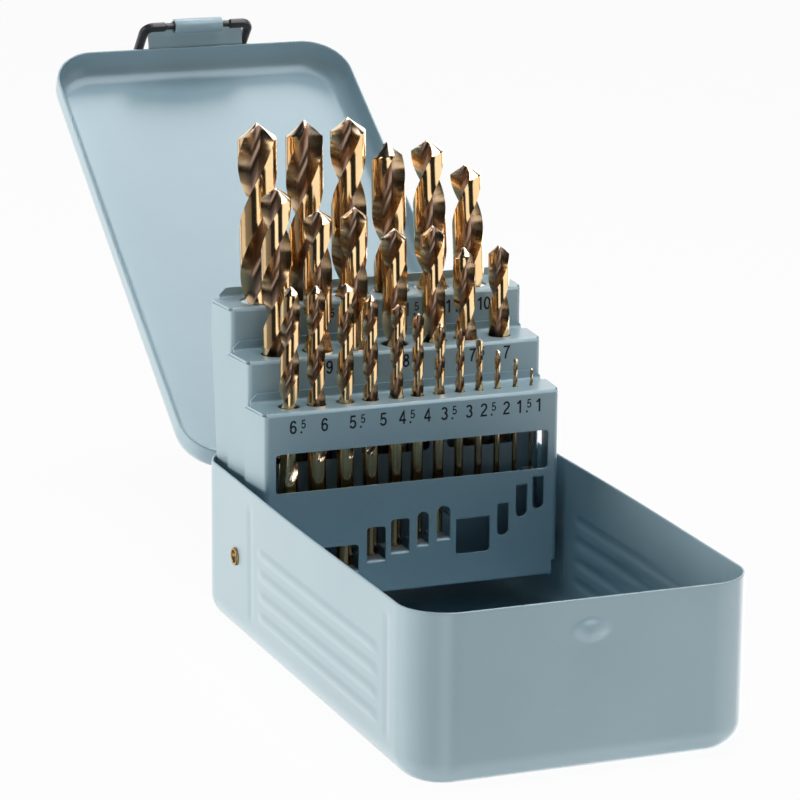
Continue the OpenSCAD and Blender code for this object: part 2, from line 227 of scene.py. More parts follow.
paintLook = {
    "pale": (0.295, 0.44, 0.515, 1), "deep": (0.265, 0.405, 0.48, 1), "speck": (0.46, 0.58, 0.64, 1),
    "roughness": 0.38, "specular": 0.25, "coat": 1.0, "coatRoughness": 0.33, "peel": 0.10,
    "cloudScale": 22.0, "speckScale": 1600.0, "peelScale": 420.0, "peelDepth": 0.0002,
}


def makePaint():
    # stoved enamel: cloudy between two blues, with pale specks and a fine orange peel under a clear coat
    look = paintLook
    material, tree = newMaterial("stovedPaint")
    place = objectPlace(tree)
    cloud = noise(tree, place, look["cloudScale"], 3.0)
    speck = noise(tree, place, look["speckScale"], 1.0)
    peel = noise(tree, place, look["peelScale"])
    body = mixColour(tree, ((cloud - 0.35) * 2.2).clamp(), look["deep"], look["pale"])
    body = mixColour(tree, ((speck - 0.66) * 3).clamp() * 0.25, body, look["speck"])
    finishMaterial(tree, addNode(tree, "ShaderNodeBsdfPrincipled", {}, {
        "Base Color": body, "Roughness": cloud * 0.10 + (look["roughness"] - 0.05),
        "Normal": bump(tree, peel, look["peel"], look["peelDepth"]),
        "Coat Weight": look["coat"], "Coat Roughness": look["coatRoughness"],
        "Specular IOR Level": look["specular"]}))
    return material


# the pale cream colour serves both the ground point and a painted highlight on each flute's run-out
bitLook = {
    "land": (0.78, 0.53, 0.27, 1), "straw": (0.87, 0.64, 0.37, 1), "flute": (0.32, 0.215, 0.155, 1),
    "ground": (0.90, 0.80, 0.68, 1), "shank": (0.40, 0.25, 0.135, 1), "scratch": (0.12, 0.07, 0.045, 1),
    "landRoughness": 0.12, "fluteRoughness": 0.27, "stretch": 0.55, "cloudScale": 70.0,
    "grindScale": (300.0, 300.0, 4200.0), "grindBump": 0.04, "grindDepth": 0.00003,
}


def makeBitSteel():
    # tempered steel: straw lands, dark flutes and shanks, bright ground points and a painted highlight where each flute
    # runs out, by the bit's own attributes, with grinding marks round it. The stretch draws the highlights out along
    # the bit.
    look = bitLook
    material, tree = newMaterial("temperedSteel")
    place = objectPlace(tree)
    depth, groundAndSheenMask, plain = (addNode(tree, "ShaderNodeAttribute", {"attribute_name": name}, output=2)
                           for name in ("flute", "ground", "shank"))
    cloud = noise(tree, place, look["cloudScale"], 3.0)
    grind = noise(tree, addNode(tree, "ShaderNodeMapping", {}, {"Vector": place, "Scale": look["grindScale"]}), 1.0)
    body = mixColour(tree, ((cloud - 0.35) * 2.4).clamp(), look["land"], look["straw"])
    # a darker colour over the shank, from the end of the flutes downwards
    body = mixColour(tree, plain, body, look["shank"])
    body = mixColour(tree, depth, body, look["flute"])
    # pale where the point is ground, and a painted highlight where each flute runs out
    body = mixColour(tree, groundAndSheenMask * 0.7, body, look["ground"])
    body = mixColour(tree, ((grind - 0.5) * 1.2).clamp() * 0.25, body, look["scratch"])
    rough = depth * (look["fluteRoughness"] - look["landRoughness"]) + look["landRoughness"] + grind * 0.05
    finishMaterial(tree, addNode(tree, "ShaderNodeBsdfPrincipled", {}, {
        "Base Color": body, "Roughness": rough, "Normal": bump(tree, grind, look["grindBump"], look["grindDepth"]),
        "Metallic": 1.0, "Anisotropic": look["stretch"], "Anisotropic Rotation": 0.25}))
    return material


# contrast: how the cloud of noise between dark and bright is taken, as (lowest, gain)
brassLook = {"dark": (0.62, 0.38, 0.13, 1), "bright": (0.86, 0.62, 0.30, 1), "cloudScale": 500.0, "detail": 3.0,
             "contrast": (0.35, 2.0), "roughness": 0.28, "spread": 0.12, "metallic": 1.0, "specular": 0.5}
blackLook = {"dark": (0.012, 0.012, 0.014, 1), "bright": (0.035, 0.034, 0.038, 1), "cloudScale": 160.0, "detail": 3.0,
             "contrast": (0.0, 1.0), "roughness": 0.30, "spread": 0.12, "metallic": 0.0, "specular": 0.5,
             "grain": (2600.0, 0.15, 0.00008)}
inkLook = {"dark": (0.006, 0.008, 0.012, 1), "bright": (0.02, 0.024, 0.032, 1), "cloudScale": 2400.0, "detail": 2.0,
           "contrast": (0.0, 1.0), "roughness": 0.45, "spread": 0.1, "metallic": 0.0, "specular": 0.2}


def makeClouded(name, look):
    # cloudy between two colours, rougher where it is bright, with a fine grain where the look has one
    material, tree = newMaterial(name)
    place = objectPlace(tree)
    cloud = noise(tree, place, look["cloudScale"], look["detail"])
    lowest, gain = look["contrast"]
    inputs = {"Base Color": mixColour(tree, ((cloud - lowest) * gain).clamp(), look["dark"], look["bright"]),
              "Roughness": cloud * look["spread"] + look["roughness"],
              "Metallic": look["metallic"], "Specular IOR Level": look["specular"]}
    if "grain" in look:
        scale, strength, depth = look["grain"]
        inputs["Normal"] = bump(tree, noise(tree, place, scale, 1.0), strength, depth)
    finishMaterial(tree, addNode(tree, "ShaderNodeBsdfPrincipled", {}, inputs))
    return material


paint, bitSteel = makePaint(), makeBitSteel()
brass = makeClouded("rolledBrass", brassLook)
blackCatch = makeClouded("blackCatch", blackLook)
ink = makeClouded("printedInk", inkLook)
print("materials made")


def roundedOutline(halfX, halfY, radius, step, dense):
    # anticlockwise round a rounded rectangle: sides at even steps, corners as middle + radius * (cos a, sin a)
    a, b = halfY - radius, halfX - radius
    along = np.unique(np.round(np.concatenate([np.linspace(-a, a, int(2 * a / step) + 1)] + dense), 3))
    across = np.linspace(-b, b, int(2 * b / step) + 1)
    arc = np.radians(np.linspace(0, 90, 17)[1:-1])
    plan, normals = [], []
    for k, (far, side, reach, other) in enumerate((
            (halfX, along, a, b), (halfY, across, b, a), (halfX, -along[::-1], a, b), (halfY, across, b, a))):
        # one side and the corner after it, turned by k quarters
        c, s = ((1, 0), (0, 1), (-1, 0), (0, -1))[k]
        flat = np.stack([np.append(np.full(side.size, far), other + radius * np.cos(arc)),
                         np.append(side, reach + radius * np.sin(arc))], -1)
        out = np.stack([np.append(np.ones(side.size), np.cos(arc)), np.append(np.zeros(side.size), np.sin(arc))], -1)
        plan.append(flat @ [[c, s], [-s, c]])
        normals.append(out @ [[c, s], [-s, c]])
    return np.concatenate(plan), np.concatenate(normals)


def panRings(outline, normals, height, baseR, sheet, wallStep, relief):
    # section from the outer middle of the floor, up the wall, over the rounded rim and down inside to the middle:
    # ring = scale * (outline - inset * normal), with inset and height following the section's arcs and straights
    arc = np.radians(np.linspace(90, 0, 9))
    half = sheet / 2
    wall = np.linspace(baseR, height - half, int((height - baseR) / wallStep) + 1)
    over = np.radians(np.linspace(0, 180, 7))[1:-1]
    floor = np.array([0.05, 0.3, 0.6, 0.85, 0.95])
    inner = baseR - sheet
    inset = np.concatenate([
        np.full(5, baseR), baseR * (1 - np.cos(arc)), np.zeros(wall.size - 1),
        half - half * np.cos(over), np.full(wall.size, sheet),
        sheet + inner * (1 - np.cos(arc[::-1][1:])), np.full(5, baseR)])
    level = np.concatenate([
        np.zeros(5), baseR * (1 - np.sin(arc)), wall[1:],
        height - half + half * np.sin(over), wall[::-1],
        baseR - inner * np.sin(arc[::-1][1:]), np.full(5, sheet)])
    scale = np.concatenate([floor, np.ones(inset.size - 10), floor[::-1]])
    plan = outline[None] - inset[:, None, None] * normals[None]
    push = relief(plan, normals, np.broadcast_to(level[:, None], plan.shape[:2]))
    plan = (plan + push[..., None] * normals[None]) * scale[:, None, None]
    return np.concatenate([plan, np.broadcast_to(level[:, None, None], plan.shape[:2] + (1,))], -1)


trayLook = {
    "step": 1.3, "wallStep": 0.75, "ribs": 4, "ribRise": 0.5, "ribHalf": 1.9, "ribLow": 14.4, "ribPitch": 7.0,
    "ribFrom": -66.0, "ribTo": 36.0, "grooves": (-74.0, 45.0), "grooveHalf": 1.5, "grooveDepth": 0.35,
    "bumpZ": 44.0, "bumpHalfX": 5.3, "bumpHalfZ": 3.3, "bumpRise": 1.25, "bow": 0.8, "rivetHole": 1.75,
}


def trayRelief(plan, normals, level):
    # outward push of the walls: raised ribs and grooves on the long sides, an oval bump in front that stands out more
    # below, and a slight bow
    t = trayLook
    x, y = plan[..., 0], plan[..., 1]
    side = (np.abs(normals[:, 0]) > 0.999)[None]
    front = (normals[:, 1] < -0.999)[None]
    ends = smooth(y, t["ribFrom"] - 2, t["ribFrom"] + 3) * smooth(-y, -t["ribTo"] - 2, -t["ribTo"] + 3)
    push = np.zeros(plan.shape[:2])
    for k in range(t["ribs"]):
        w = (level - t["ribLow"] - k * t["ribPitch"]) / t["ribHalf"]
        push += side * t["ribRise"] * np.clip(1 - w * w, 0, 1) * ends
    tall = smooth(level, 9, 13) * smooth(-level, -50, -46)
    for place in t["grooves"]:
        push -= side * t["grooveDepth"] * np.exp(-((y - place) / t["grooveHalf"]) ** 2) * tall
    oval = (x / t["bumpHalfX"]) ** 2 + ((level - t["bumpZ"]) / t["bumpHalfZ"]) ** 2
    push += front * t["bumpRise"] * np.clip(1 - oval, 0, 1) ** 0.8 * (1.15 - 0.1 * (level - t["bumpZ"]))
    wallY = case["length"] / 2 - case["cornerR"]
    push += side * t["bow"] * np.clip(1 - (y / wallY) ** 2, 0, 1) ** 2 * (level / case["height"]) ** 1.5
    return push


def makeTray():
    # closer rows of points near the pivot leave round holes there
    dense = [pivot["y"] + np.linspace(-3.6, 3.6, 13)]
    outline, normals = roundedOutline(case["width"] / 2, case["length"] / 2, case["cornerR"], trayLook["step"], dense)
    rings = panRings(outline, normals, case["height"], case["baseR"], case["sheet"], trayLook["wallStep"], trayRelief)
    points, faces = closedRings(rings)
    tray = addPiece("drawnTray", points, faces, "case", ["tray"], "paint", paint)
    editMesh(tray, openRivetHoles)


def openRivetHoles(work):
    # takes the small faces round each pivot out of the outer and inner wall and joins the two rims
    centre = Vector((pivot["y"], pivot["z"])) * mm
    for side in (-1, 1):
        near = [f for f in work.faces if f.calc_center_median().x * side > 0.05
                and (f.calc_center_median().yz - centre).length < trayLook["rivetHole"] * mm]
        bmesh.ops.delete(work, geom=near, context="FACES")
        rims = [e for e in work.edges if e.is_boundary]
        bmesh.ops.bridge_loops(work, edges=rims)
    bmesh.ops.recalc_face_normals(work, faces=work.faces)


lidLook = {"rim": 52.0, "depth": 11.5, "edgeR": 7.0, "gap": 0.4, "step": 2.0, "wallStep": 0.8, "bow": 0.5}


def lidRelief(plan, normals, level):
    # the long flanges bow out a little, as the tray's walls do
    wallY = case["length"] / 2 - case["cornerR"]
    side = (np.abs(normals[:, 0]) > 0.999)[None]
    up = np.clip(level / lidLook["depth"], 0, 1) ** 1.5
    return side * lidLook["bow"] * np.clip(1 - (plan[..., 1] / wallY) ** 2, 0, 1) ** 2 * up


def makeLid():
    # the same pan as the tray, upside down over it, with its faces turned back and then swung open
    grow = lidLook["gap"] + case["sheet"]
    outline, normals = roundedOutline(case["width"] / 2 + grow, case["length"] / 2 + grow,
                                      case["cornerR"] + grow, lidLook["step"], [])
    rings = panRings(outline, normals, lidLook["depth"], lidLook["edgeR"], case["sheet"], lidLook["wallStep"],
                     lidRelief)
    rings[..., 2] = lidLook["rim"] + lidLook["depth"] - rings[..., 2]
    points, faces = closedRings(rings)
    addPiece("drawnLid", swingOpen(points), [f[::-1] for f in faces], "cover", ["lid"], "paint", paint)


makeTray()
makeLid()
print("tray and lid drawn")


def strokePath(start, heading, moves):
    # a path in the Y-Z plane: each move is (length, turn), a straight when turn is 0 and else an arc of length / turn
    points, lengths, bends = [np.array(start, float)], [0.0], []
    angle = math.radians(heading)
    for length, turn in moves:
        steps = 1 if turn == 0 else max(4, int(abs(turn) / 9))
        if turn:
            bends += [lengths[-1]]
        for k in range(steps):
            part, swing = length / steps, math.radians(turn) / steps
            chord = part if turn == 0 else part * math.sin(swing / 2) / (swing / 2)
            middle = angle + swing / 2
            points.append(points[-1] + chord * np.array([math.cos(middle), math.sin(middle)]))
            lengths.append(lengths[-1] + part)
            angle += swing
            if turn:
                bends.append(lengths[-1])
    return np.array(points), np.array(lengths), bends


def onPath(path, w):
    # the point at each length w along the path, straight between its points
    points, lengths, bends = path
    return np.interp(w, lengths, points[:, 0]), np.interp(w, lengths, points[:, 1])


def roundedBox(x0, x1, y0, y1, low=0.0, high=0.0):
    # a rectangle with one corner radius below and one above, as points round it
    loop = []
    for cx, cy, r, a in ((x1 - low, y0 + low, low, -90), (x1 - high, y1 - high, high, 0),
                         (x0 + high, y1 - high, high, 90), (x0 + low, y0 + low, low, 180)):
        if r == 0:
            loop.append((cx, cy))
        else:
            turn = np.radians(np.linspace(a, a + 90, 7))
            loop += list(zip(cx + r * np.cos(turn), cy + r * np.sin(turn)))
    return np.array(loop)


def circleLoop(x, y, r, count=36):
    # middle + r * (cos a, sin a)
    a = np.linspace(0, 2 * np.pi, count, endpoint=False)
    return np.stack([x + r * np.cos(a), y + r * np.sin(a)], -1)


def insideLoop(loop, points):
    # even-odd rule: a point is inside when a ray from it crosses the loop an odd number of times
    x, y = points[:, 0][:, None], points[:, 1][:, None]
    ax, ay = loop[:, 0][None], loop[:, 1][None]
    bx, by = np.roll(loop[:, 0], -1)[None], np.roll(loop[:, 1], -1)[None]
    crosses = (ay > y) != (by > y)
    with np.errstate(divide="ignore", invalid="ignore"):
        at = ax + (y - ay) * (bx - ax) / (by - ay)
    return (crosses & (x < at)).sum(1) % 2 == 1


def cutSheet(outline, holes, lines):
    # triangles of a flat outline with holes; the fold lines become edges, so that the sheet can bend along them
    points, edges = [], []
    for loop in [outline] + holes:
        first = len(points)
        points += [Vector((float(p[0]), float(p[1]))) for p in loop]
        edges += [(first + k, first + (k + 1) % len(loop)) for k in range(len(loop))]
    for a, b in lines:
        edges.append((len(points), len(points) + 1))
        points += [Vector(a), Vector(b)]
    out = delaunay_2d_cdt(points, edges, [], 0, 1e-5)
    flat = np.array([tuple(p) for p in out[0]])
    faces = np.array([f for f in out[2]])
    middle = flat[faces].mean(1)
    keep = insideLoop(outline, middle)
    for hole in holes:
        keep &= ~insideLoop(hole, middle)
    faces = faces[keep]
    a, b, c = (flat[faces[:, k]] for k in range(3))
    turned = (b[:, 0] - a[:, 0]) * (c[:, 1] - a[:, 1]) - (b[:, 1] - a[:, 1]) * (c[:, 0] - a[:, 0]) < 0
    faces[turned] = faces[turned][:, ::-1]
    return flat, faces


def flatShade(mesh):
    # faces that share one direction over more than 60 mm2 are flat, the rest are bends and stay smooth
    count = len(mesh.polygons)
    normals, areas = np.empty(count * 3), np.empty(count)
    mesh.polygons.foreach_get("normal", normals)
    mesh.polygons.foreach_get("area", areas)
    kinds = np.unique(np.round(normals.reshape(-1, 3), 2) + 0.0, axis=0, return_inverse=True)[1].ravel()
    total = np.bincount(kinds, weights=areas)
    mesh.polygons.foreach_set("use_smooth", total[kinds] < 60e-6)


def weldCorners(work):
    # parts that share corners become one sheet, and points that no face uses go
    bmesh.ops.remove_doubles(work, verts=work.verts, dist=0.002 * mm)
    bmesh.ops.delete(work, geom=[v for v in work.verts if not v.link_faces], context="VERTS")


def foldedPiece(name, parts, body, nodes, sheet, edge=0.14):
    # joins (points, faces) parts along shared corners, gives the sheet its thickness inwards and eases its edges
    piece = addPiece(name, *joined(parts), body, nodes, "paint", paint)
    editMesh(piece, weldCorners)
    flatShade(piece.data)
    wall = piece.modifiers.new("thickness", "SOLIDIFY")
    wall.thickness, wall.offset, wall.use_even_offset = sheet * mm, -1.0, True
    ease = piece.modifiers.new("easedEdges", "BEVEL")
    ease.width, ease.segments, ease.limit_method = edge * mm, 2, "ANGLE"
    ease.angle_limit = math.radians(50)
    return piece


# flangeDrop: how far below the tread the flanges end; relief: the notch beside each corner of the foot's bend
tierLook = {"half": 50.75, "sideR": 1.6, "flare": 1.5, "bendR": 1.3, "lipR": 1.0, "lipH": 3.2, "lipGap": 0.05,
            "holeGap": 0.3, "flangeDrop": 0.9, "flangeShort": 0.3, "relief": 0.8}


def tierSheet(tier, holes):
    # the tier as one flat sheet: u across it, w from the rear of the foot up the panel, back over the tread and up the
    # lip. The panel's sides turn back round sideR, and the flanges spread by flare.
    look, row, low, depth = tierLook, tier["row"], tier["low"], tier["depth"]
    footDepth, footHalf, flangeLow, lipEnd = (tier[key] for key in ("footDepth", "footHalf", "flangeLow", "lipEnd"))
    face, top = panelFaces[row], treadTops[row]
    bend, lipR, quarter = look["bendR"], look["lipR"], math.pi / 2
    treadRun = depth - case["sheet"] - look["lipGap"] - bend - lipR
    path = strokePath((face + footDepth, low), 180, [
        (footDepth - bend, 0), (bend * quarter, -90), (top - low - 2 * bend, 0), (bend * quarter, -90),
        (treadRun, 0), (lipR * quarter, 90), (look["lipH"] - lipR, 0)])
    # lengths w at the panel's foot and top, the tread's front, the lip's foot and its edge; toW turns a height into w
    panelStart = footDepth - bend + bend * quarter
    toW = panelStart - (low + bend)
    topW = top - bend + toW
    treadW = topW + bend * quarter
    lipW = treadW + treadRun
    endW = float(path[1][-1])
    sideR = look["sideR"]
    inner = look["half"] - sideR
    spread = math.atan(look["flare"] / (depth - sideR))
    turn = quarter - spread
    arcU = inner + sideR * turn
    flangeU = arcU + (depth - sideR - tier["flangeCut"]) / math.cos(spread) - look["flangeShort"]
    seat = inner + 0.5
    notchU, flangeTop = seat - look["relief"], top - look["flangeDrop"] + toW
    right = [
        (footHalf, 0.0), (footHalf, low + toW), (notchU, low + bend + toW - 0.01),
        (notchU, flangeLow + toW), (flangeU, flangeLow + toW)]
    right += [(arcU + (y - sideR) / math.cos(spread), z + toW) for y, z in tier["flangeBack"]]
    right += [(flangeU, flangeTop), (seat, flangeTop), (seat, treadW + 0.3)]
    right += [(look["half"] + 0.05, treadW + 0.6), (look["half"] - 0.1 + look["flare"] * 0.8, lipW - 0.2)]
    right += [(lipEnd, lipW - 0.2), (lipEnd, lipW + lipR * quarter), (lipEnd - 0.2, lipW + 1.9), (lipEnd - 2.3, endW)]
    right = [p for k, p in enumerate(right) if k == 0 or p != right[k - 1]]
    outline = np.array(right + [(-u, w) for u, w in right[::-1]])
    lines = [((-seat - 1, b), (seat + 1, b)) for b in path[2] + [path[2][1] + 0.6, path[2][2] - 0.6, path[2][3] + 0.6]]
    for s in (-1, 1):
        for part in (-0.6, 0.0, 1 / 6, 1 / 3, 1 / 2, 2 / 3, 5 / 6, 1.0, 1.3):
            u = s * (inner + sideR * turn * part)
            lines.append(((u, low + toW - 1), (u, flangeTop)))
    flatHoles = [np.stack([h[:, 0], h[:, 1] + toW], -1) for h in holes]
    for size, x in [(b[0], b[3]) for b in bitSet if b[4] == row]:
        middle = treadW + rowMiddles[row] - face - bend
        flatHoles.append(circleLoop(x, middle, size / 2 + look["holeGap"], 40 if size > 5 else 24))
    flat, faces = cutSheet(outline, flatHoles, lines)
    u, w = flat[:, 0], flat[:, 1]
    tread = w > topW + 1.2
    flange = (np.abs(u) > seat + 0.001) & ~tread
    straightLow = (np.abs(u) > footHalf + 0.001) & (w < low + bend + toW)
    y, z = onPath(path, w)
    unbent = flange | straightLow
    y = np.where(unbent, face, y)
    z = np.where(unbent, w - toW, z)
    beyond = np.where(tread, 0, np.clip(np.abs(u) - inner, 0, None))
    angle = np.clip(beyond / sideR, 0, turn)
    run = np.clip(beyond - sideR * turn, 0, None)
    x = np.where(tread, np.abs(u), np.minimum(np.abs(u), inner) + sideR * np.sin(angle) + run * math.cos(turn))
    y = y + sideR * (1 - np.cos(angle)) + run * math.sin(turn)
    return np.stack([np.sign(u) * x, y, z], -1), faces


def stopTab(x0, x1, level, above, reach=11.4, bend=1.0):
    # a stop bent back from the panel: a strip carried along its bend; above: it hangs from the slot's upper edge
    face, quarter = panelFaces[0], math.pi / 2
    if above:
        path = strokePath((face + reach, level), 180, [(reach - bend, 0), (bend * quarter, -90)])
    else:
        path = strokePath((face, level - bend), 90, [(bend * quarter, -90), (reach - bend, 0)])
    count = len(path[1])
    rows = [np.stack([np.full(count, x), path[0][:, 0], path[0][:, 1]], -1) for x in (x0, x1)]
    points = np.stack(rows, 1).reshape(-1, 3)
    faces = [[2 * k, 2 * k + 1, 2 * k + 3, 2 * k + 2] for k in range(count - 1)]
    return points, faces


# diameter, whole and flute length, place across, row, stop above the feet, lean and turn of the flutes
bitSet = [
    (13, 151, 101, -37.6, 2, 0, 1.2, 18.5),
    (12.5, 151, 101, -21.7, 2, 0, 1, 33.4),
    (12, 151, 101, -6.6, 2, 0, 1, 143.9),
    (11.5, 142, 94, 7.9, 2, 0, 2, 53.9),
    (11, 142, 94, 22.4, 2, 0, 2.6, 102.3),
    (10.5, 133, 87, 35.8, 2, 0, 2.8, 115.5),
    (10, 133, 87, -37.9, 1, 0, 0.5, 101.5),
    (9.5, 125, 81, -24.1, 1, 0, 0, 109),
    (9, 125, 81, -11.4, 1, 0, 0.5, 120.5),
    (8.5, 117, 75, 2.7, 1, 0, 1, 112.3),
    (8, 117, 75, 16.4, 1, 0, 1.4, 106.2),
    (7.5, 109, 69, 27.6, 1, 0, 2.4, 175.5),
    (7, 109, 69, 39.4, 1, 0, 1, 92.3),
    (6.5, 101, 63, -39.8, 0, 3.3, -0.8, 134),
    (6, 93, 57, -30.5, 0, 11, 0.4, 132),
    (5.5, 93, 57, -20.6, 0, 11, 0, 154),
    (5, 86, 52, -12, 0, 13.6, 0.2, 90.8),
    (4.5, 80, 47, -3.1, 0, 15.7, -0.6, 23.7),
    (4, 75, 43, 4.2, 0, 17.3, -0.2, 39.5),
    (3.5, 70, 39, 11.8, 0, 18.6, -0.5, 45),
    (3, 61, 33, 18.9, 0, 25.1, -0.4, 15),
    (2.5, 57, 30, 25.6, 0, 25.1, 0, 75),
    (2, 49, 24, 32.1, 0, 28.9, 0, 30),
    (1.5, 40, 18, 38.4, 0, 34.6, 0, 60),
    (1, 34, 12, 44.1, 0, 36.8, 0, 20),
]

# stop slots: left, right, stop above the feet, slot length, stop above the slot or not, radius of the far corners
stopSlots = [
    (-46.5, -18.7, 11, 8.6, False, 1.3),
    (-16, -9.4, 13.6, 11.2, False, 1.2),
    (-7.7, -1.2, 15.7, 11, False, 1.2),
    (1.4, 5.5, 17.3, 11, False, 2.0),
    (8.2, 13, 18.6, 11, False, 2.35),
    (14.9, 26.9, 25.1, 12.4, True, 1.2),
    (29.4, 33.5, 28.9, 11.4, True, 2.0),
    (35.9, 40, 34.6, 11.4, True, 2.0),
    (41.8, 45.8, 36.8, 11.4, True, 1.95),
]


# low is the foot's underside, flangeLow the flanges' lower edge, flangeBack points of their rear edge as (depth behind
# the panel, height), flangeCut what their upper rear lacks, lipEnd half the lip's width
frontLook = {
    "row": 0, "low": footZ + 3.3 - case["sheet"], "depth": 15.7, "footDepth": 12.7, "footHalf": 48.3,
    "flangeLow": footZ + 3.3 - case["sheet"] + 5.0, "flangeCut": 0.0, "lipEnd": 50.25,
    "flangeBack": [(15.2, 24.0), (12.2, 25.5), (11.6, 27.9), (12.2, 30.3), (15.2, 31.8)],
    "window": (-47, 47.1, 26.4, 13.4), "windowR": 1.2,  # left, right, lower and upper edge below the tread
    "stopSplit": -35.0,  # the first slot serves two bits, and its stop only the one to the right of this
}
middleLook = {
    "row": 1, "low": footZ - case["sheet"], "depth": 16.7, "footDepth": 15.7, "footHalf": 48.75,
    "flangeLow": pivot["z"] + 6.2, "flangeBack": [], "flangeCut": 0.0, "lipEnd": 50.25,
    "windowPitch": 30, "windowHalf": 12, "windowEdges": (21, 9), "windowR": 2,
}
rearLook = {
    "row": 2, "low": footZ - case["sheet"], "depth": 17.7, "footDepth": 14.1, "footHalf": 45.0,
    "flangeLow": 24.0, "flangeBack": [(12.0, 26.0), (12.3, 56.5), (16.0, 94.0)], "flangeCut": 1.6, "lipEnd": 48.9,
}


def makeFrontTier():
    # the sheet with its window and slots, and a stop bent back from each slot's upper or lower edge
    t, top, split, bend = case["sheet"], treadTops[0], frontLook["stopSplit"], frontLook["windowR"]
    left, right, low, high = frontLook["window"]
    holes = [roundedBox(left, right, top - low, top - high, bend, bend)]
    tabs = []
    for x0, x1, stop, length, above, radius in stopSlots:
        level = footZ + stop
        if above:
            holes.append(roundedBox(x0, x1, level - length, level - t + 1.0, radius, 0.9))
            tabs.append(stopTab(x0, x1, level - t, True))
        else:
            loop = roundedBox(x0, x1, level - 1.0, level + length, 0, radius)
            if x0 < split:
                loop = np.array([(split, level - 1.0)] + loop.tolist()[:-1] + [(x0, level), (split, level)])
            holes.append(loop)
            tabs.append(stopTab(max(x0, split), x1, level, False))
    foldedPiece("frontTier", [tierSheet(frontLook, holes)] + tabs, "holder", ["front_tier"], t)


def makeMiddleTier():
    # three windows side by side, behind the front tier's one
    k = middleLook
    pitch, half, (low, high), r = k["windowPitch"], k["windowHalf"], k["windowEdges"], k["windowR"]
    holes = [roundedBox(n * pitch - half, n * pitch + half, treadTops[0] - low, treadTops[0] - high, r, r)
             for n in (-1, 0, 1)]
    foldedPiece("middleTier", [tierSheet(k, holes)], "holder", ["middle_tier"], case["sheet"])


def makeRearTier():
    # the tallest one, with no window
    foldedPiece("rearTier", [tierSheet(rearLook, [])], "holder", ["rear_tier"], case["sheet"])


makeFrontTier()
makeMiddleTier()
makeRearTier()
print("holder folded")


earLook = {"x": 52.35, "radius": 5.0, "strap": 8.5, "bore": 2.06}


def makeEars():
    # a flat ear beside each end of the front tier: a disc round the pivot with a strap towards the panel
    e = earLook
    a = np.radians(np.linspace(-90, 90, 19))
    loop = [(pivot["y"] + e["radius"] * np.cos(v), pivot["z"] + e["radius"] * np.sin(v)) for v in a]
    loop += [(pivot["y"] - e["strap"], pivot["z"] + e["radius"]), (pivot["y"] - e["strap"], pivot["z"] - e["radius"])]
    flat, faces = cutSheet(np.array(loop), [circleLoop(pivot["y"], pivot["z"], e["bore"], 32)], [])
    right = np.stack([np.full(len(flat), e["x"]), flat[:, 0], flat[:, 1]], -1)
    left = right * [-1, 1, 1]
    parts = [(right, faces), (left, faces[:, ::-1])]
    foldedPiece("pivotEars", parts, "holder", [], case["sheet"], 0.1)


makeEars()


# the tab's path starts inside the flange, runs straight, bends out, on down the slope, bends back, straight again and
# ends in a curl of curlTurn degrees
tabLook = {"half": 18.0, "curlHalf": 9.0, "curlY": -100.2, "curlZ": 44.5, "curlR": 2.7, "curlTurn": 285,
           "start": (-97.2, 54.5), "runs": (1.6, 1.4, 2.9, 1.3), "slope": (2.75, 4.4), "sheet": 0.75}


def carried(path, flat):
    # a flat point (u, w) goes to x = u and to the place at length w along the path
    y, z = onPath(path, flat[:, 1])
    return np.stack([flat[:, 0], y, z], -1)


def makeTab():
    # a flat T whose stem rolls up: carried along a path down from the flange, out on a slope and round the curl
    k = tabLook
    slope = math.degrees(math.atan2(*k["slope"]))
    curlRun = k["curlR"] * math.radians(k["curlTurn"])
    first, bend, down, last = k["runs"]
    path = strokePath(k["start"], -90, [
        (first, 0), (bend, -slope), (down, 0), (bend, slope), (last, 0), (curlRun, k["curlTurn"])])
    end = float(path[1][-1])
    curlStart = end - curlRun
    h, c = k["half"], k["curlHalf"]
    right = [(h, 0.0), (h, curlStart - 2.0), (h - 0.8, curlStart - 0.9), (h - 1.6, curlStart - 0.6),
             (c + 0.6, curlStart - 0.6), (c, curlStart), (c, end)]
    outline = np.array(right + [(-u, w) for u, w in right[::-1]])
    lines = [((-h - 1, b), (h + 1, b)) for b in path[2]]
    flat, faces = cutSheet(outline, [], lines)
    points = carried(path, flat)
    shift = np.array([0, k["curlY"] - k["curlR"], k["curlZ"]]) - carried(path, np.array([[0, curlStart]]))[0]
    blendIn = smooth(flat[:, 1], 0.5, 3.5)[:, None]
    points = points + shift[None] * blendIn
    foldedPiece("lidTab", [(swingOpen(points), faces[:, ::-1])], "cover", [], k["sheet"], 0.12)


def makeKnuckles(name, body, places, startY, below):
    # each knuckle is a strip rolled round the pin: a short leaf from the wall, then an arc of 300 degrees
    r, pitch = hinge["knuckleR"], hinge["width"] / 5
    turn = 300 if below else -300
    level = hinge["z"] - r if below else hinge["z"] + r
    path = strokePath((startY, level), 0, [(hinge["y"] - startY, 0), (r * math.radians(300), turn)])
    parts = []
    for k in places:
        x0 = -hinge["width"] / 2 + k * pitch + hinge["gap"] / 2
        x1 = x0 + pitch - hinge["gap"]
        box = roundedBox(x0, x1, 0.0, float(path[1][-1]))
        flat, faces = cutSheet(box, [], [((x0 - 1, b), (x1 + 1, b)) for b in path[2]])
        points = carried(path, flat)
        if not below:
            points = swingOpen(points)
        parts.append((points, faces[:, ::-1] if below else faces))
    foldedPiece(name, parts, body, [], hinge["leaf"], 0.12)


def latheX(profile, count=48):
    # a closed profile of (x, radius) turned about the X axis through the origin
    a = np.linspace(0, 2 * np.pi, count, endpoint=False)
    p = np.array(profile)
    x = np.broadcast_to(p[:, 0][:, None], (len(p), count))
    return np.stack([x, p[:, 1][:, None] * np.cos(a)[None], p[:, 1][:, None] * np.sin(a)[None]], -1)


